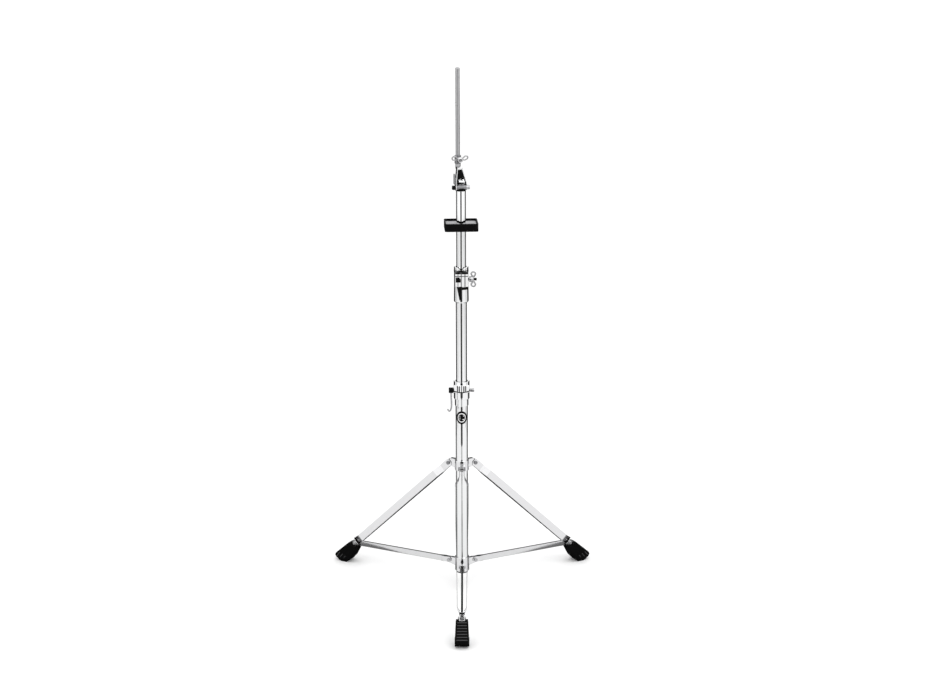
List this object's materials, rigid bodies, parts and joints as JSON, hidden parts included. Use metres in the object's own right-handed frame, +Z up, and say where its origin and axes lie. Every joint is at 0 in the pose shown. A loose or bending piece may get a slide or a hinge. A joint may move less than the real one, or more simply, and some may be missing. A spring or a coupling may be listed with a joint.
{
  "type": "tripod percussion stand",
  "caption": "Height-adjustable chrome tripod stand with folding double-bar legs, telescoping tubes, a small black tray and a tilting top rod held by a wing nut.",
  "frame": {"origin": "on the floor, at the centre of the footprint's bounding box", "axes": "+Z up along the column, -Y towards the front leg, +X to the right seen from the front"},
  "size_m": [0.6258, 0.5419, 1.224],
  "materials": {
    "chrome": "mirror-bright chrome plate",
    "steel": "satin zinc-plated steel",
    "dark_steel": "blackened steel",
    "black_plastic": "fine-grained black plastic",
    "rubber": "matt black rubber with moulded ribs",
    "grey_mat": "grey felt mat"
  },
  "bodies": {
    "base": {"base_tube": "chrome", "base_tube_plug": "black_plastic", "badge": "black_plastic", "base_clamp": "chrome", "base_clamp_bushing": "black_plastic", "base_clamp_bolt": "steel", "base_clamp_nut": "steel", "lower_leg_collar": "chrome", "brace_pin_front": "steel", "brace_pin_left": "steel", "brace_pin_right": "steel"},
    "clamp_lever": {"base_clamp_lever_hub": "dark_steel", "base_clamp_lever": "chrome"},
    "leg_slider": {"upper_leg_collar": "chrome", "leg_lock_screw": "steel"},
    "middle_section": {"middle_tube": "chrome", "middle_tube_plug": "black_plastic", "height_clamp": "chrome", "height_clamp_bushing": "black_plastic", "height_clamp_bolt": "dark_steel"},
    "height_nut": {"height_wing_nut": "chrome"},
    "upper_section": {"upper_tube": "chrome", "upper_tube_plug": "black_plastic"},
    "tray_assembly": {"tray": "black_plastic", "tray_mat": "grey_mat"},
    "tray_knob": {"tray_screw": "black_plastic"},
    "tilter_foot": {"tilter_base": "steel", "tilter_ratchet": "chrome"},
    "tilter_head": {"tilter_yoke": "chrome", "tilter_pawl": "black_plastic", "tilter_release_bar": "steel", "tilter_bolt": "dark_steel", "tilter_nut": "steel", "rod_holder": "steel"},
    "rod": {"top_rod": "steel"},
    "rod_nut": {"rod_wing_nut": "chrome"},
    "front_brace": {"brace_front": "chrome"},
    "front_leg": {"leg_front": "chrome", "leg_pivot_pin_front_a": "steel", "leg_pivot_pin_front_b": "steel", "leg_end_cap_front": "black_plastic", "foot_clip_front": "chrome", "foot_bolt_front": "steel", "rubber_foot_front": "rubber"},
    "left_brace": {"brace_left": "chrome"},
    "left_leg": {"leg_left": "chrome", "leg_pivot_pin_left_a": "steel", "leg_pivot_pin_left_b": "steel", "leg_end_cap_left": "black_plastic", "foot_clip_left": "chrome", "foot_bolt_left": "steel", "rubber_foot_left": "rubber"},
    "right_brace": {"brace_right": "chrome"},
    "right_leg": {"leg_right": "chrome", "leg_pivot_pin_right_a": "steel", "leg_pivot_pin_right_b": "steel", "leg_end_cap_right": "black_plastic", "foot_clip_right": "chrome", "foot_bolt_right": "steel", "rubber_foot_right": "rubber"}
  },
  "joints": [
    {"name": "leg_fold", "type": "slide", "parent": "base", "child": "leg_slider", "axis": [0, 0, 1], "range_m": [-0.14248, 0]},
    {"name": "front_brace_fold", "type": "hinge", "parent": "base", "child": "front_brace", "pos_m": [0, 0.04845, 0.0608], "axis": [1, 0, 0], "range_deg": [0, 87.82]},
    {"name": "front_leg_fold", "type": "hinge", "parent": "front_brace", "child": "front_leg", "pos_m": [0, -0.21845, 0.0506], "axis": [1, 0, 0], "range_deg": [-41.41, 0]},
    {"name": "left_brace_fold", "type": "hinge", "parent": "base", "child": "left_brace", "pos_m": [-0.02901, 0.0987, 0.0608], "axis": [-0.5, -0.866, 0], "range_deg": [0, 87.82]},
    {"name": "left_leg_fold", "type": "hinge", "parent": "left_brace", "child": "left_leg", "pos_m": [-0.26015, 0.23215, 0.0506], "axis": [-0.5, -0.866, 0], "range_deg": [-41.41, 0]},
    {"name": "right_brace_fold", "type": "hinge", "parent": "base", "child": "right_brace", "pos_m": [0.02901, 0.0987, 0.0608], "axis": [-0.5, 0.866, 0], "range_deg": [0, 87.82]},
    {"name": "right_leg_fold", "type": "hinge", "parent": "right_brace", "child": "right_leg", "pos_m": [0.26015, 0.23215, 0.0506], "axis": [-0.5, 0.866, 0], "range_deg": [-41.41, 0]},
    {"name": "lever_turn", "type": "hinge", "parent": "base", "child": "clamp_lever", "pos_m": [-0.024, 0.06045, 0.4915], "axis": [1, 0, 0], "range_deg": [-120, 120]},
    {"name": "middle_slide", "type": "slide", "parent": "base", "child": "middle_section", "axis": [0, 0, 1], "range_m": [-0.18, 0.16]},
    {"name": "height_nut_turn", "type": "hinge", "parent": "middle_section", "child": "height_nut", "pos_m": [0.0177, 0.06245, 0.752], "axis": [1, 0, 0], "continuous": true},
    {"name": "upper_slide", "type": "slide", "parent": "middle_section", "child": "upper_section", "axis": [0, 0, 1], "range_m": [-0.055, 0.11]},
    {"name": "tray_slide", "type": "slide", "parent": "upper_section", "child": "tray_assembly", "axis": [0, 0, 1], "range_m": [-0.025, 0.06]},
    {"name": "tray_knob_turn", "type": "hinge", "parent": "tray_assembly", "child": "tray_knob", "pos_m": [0, 0.08195, 0.8673], "axis": [-0.0523, 0.9986, 0], "continuous": true},
    {"name": "tilter_swivel", "type": "hinge", "parent": "upper_section", "child": "tilter_foot", "pos_m": [0, 0.08195, 0.9575], "axis": [0, 0, 1], "continuous": true},
    {"name": "tilter_tilt", "type": "hinge", "parent": "tilter_foot", "child": "tilter_head", "pos_m": [0, 0.08195, 0.9575], "axis": [0.9659, 0.2588, 0], "range_deg": [-90, 90]},
    {"name": "rod_slide", "type": "slide", "parent": "tilter_head", "child": "rod", "axis": [0, 0, 1], "range_m": [0, 0.012]},
    {"name": "rod_nut_turn", "type": "hinge", "parent": "tilter_head", "child": "rod_nut", "pos_m": [-0.00298, 0.07143, 1.0215], "axis": [0.2588, -0.9659, 0], "continuous": true}
  ],
  "couplings": [
    {"joint": "front_brace_fold", "follows": "leg_fold", "rad_per_m": -10.757},
    {"joint": "front_leg_fold", "follows": "leg_fold", "rad_per_m": 5.0718},
    {"joint": "left_brace_fold", "follows": "leg_fold", "rad_per_m": -10.757},
    {"joint": "left_leg_fold", "follows": "leg_fold", "rad_per_m": 5.0718},
    {"joint": "right_brace_fold", "follows": "leg_fold", "rad_per_m": -10.757},
    {"joint": "right_leg_fold", "follows": "leg_fold", "rad_per_m": 5.0718}
  ]
}
